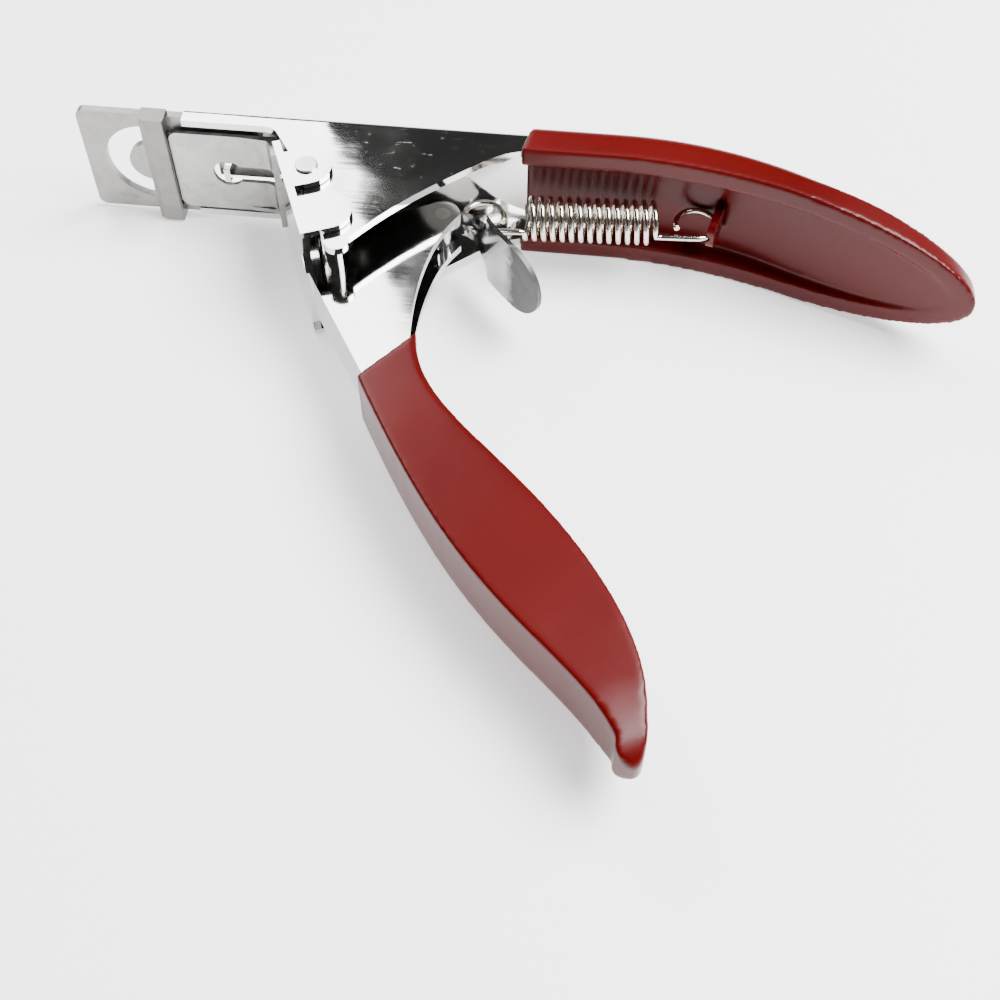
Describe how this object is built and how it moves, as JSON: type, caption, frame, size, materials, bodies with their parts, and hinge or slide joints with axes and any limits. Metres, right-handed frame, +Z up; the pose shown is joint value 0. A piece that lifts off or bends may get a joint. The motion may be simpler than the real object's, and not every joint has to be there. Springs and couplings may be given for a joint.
{
  "type": "guillotine nail clipper",
  "caption": "Hand clipper with a sliding guillotine blade behind a crescent opening, two dip-coated pressed-steel handles and a return spring.",
  "frame": {"origin": "centre of the bottom of the bounding box, with the clipper lying on its side", "axes": "+Z up across the channel width, +X from the cutting head to the tail of the fixed handle, +Y out of the back of the fixed handle"},
  "size_m": [0.1426, 0.1038, 0.0225],
  "materials": {
    "polished_steel": "mirror polished sheet with fine scratches",
    "satin_steel": "satin, slightly stained",
    "blade_steel": "ground",
    "spring_wire": "bright drawn wire",
    "red_coating": "glossy dipped vinyl"
  },
  "bodies": {
    "frame": {"frame_channel": "polished_steel", "frame_grip": "red_coating", "anvil_plate": "satin_steel", "keeper_strap": "satin_steel"},
    "lever": {"lever_channel": "polished_steel", "lever_grip": "red_coating", "pivot_rivet": "polished_steel", "drive_pin": "polished_steel", "anchor_pin": "polished_steel", "finger_tab": "polished_steel", "return_spring": "spring_wire"},
    "slide": {"blade_carrier": "satin_steel", "blade": "blade_steel"}
  },
  "joints": [
    {"name": "lever_squeeze", "type": "hinge", "parent": "frame", "child": "lever", "pos_m": [-0.0272, 0.02917, 0.0111], "axis": [0, 0, 1], "range_deg": [0, 25], "stiffness_Nm_per_rad": 0.9, "springref_deg": -20.05, "deforming": ["return_spring"]},
    {"name": "blade_slide", "type": "slide", "parent": "frame", "child": "slide", "axis": [-1, 0, 0], "range_m": [0, 0.00761]}
  ],
  "couplings": [
    {"joint": "blade_slide", "follows": "lever_squeeze", "m_per_rad": 0.017418}
  ]
}
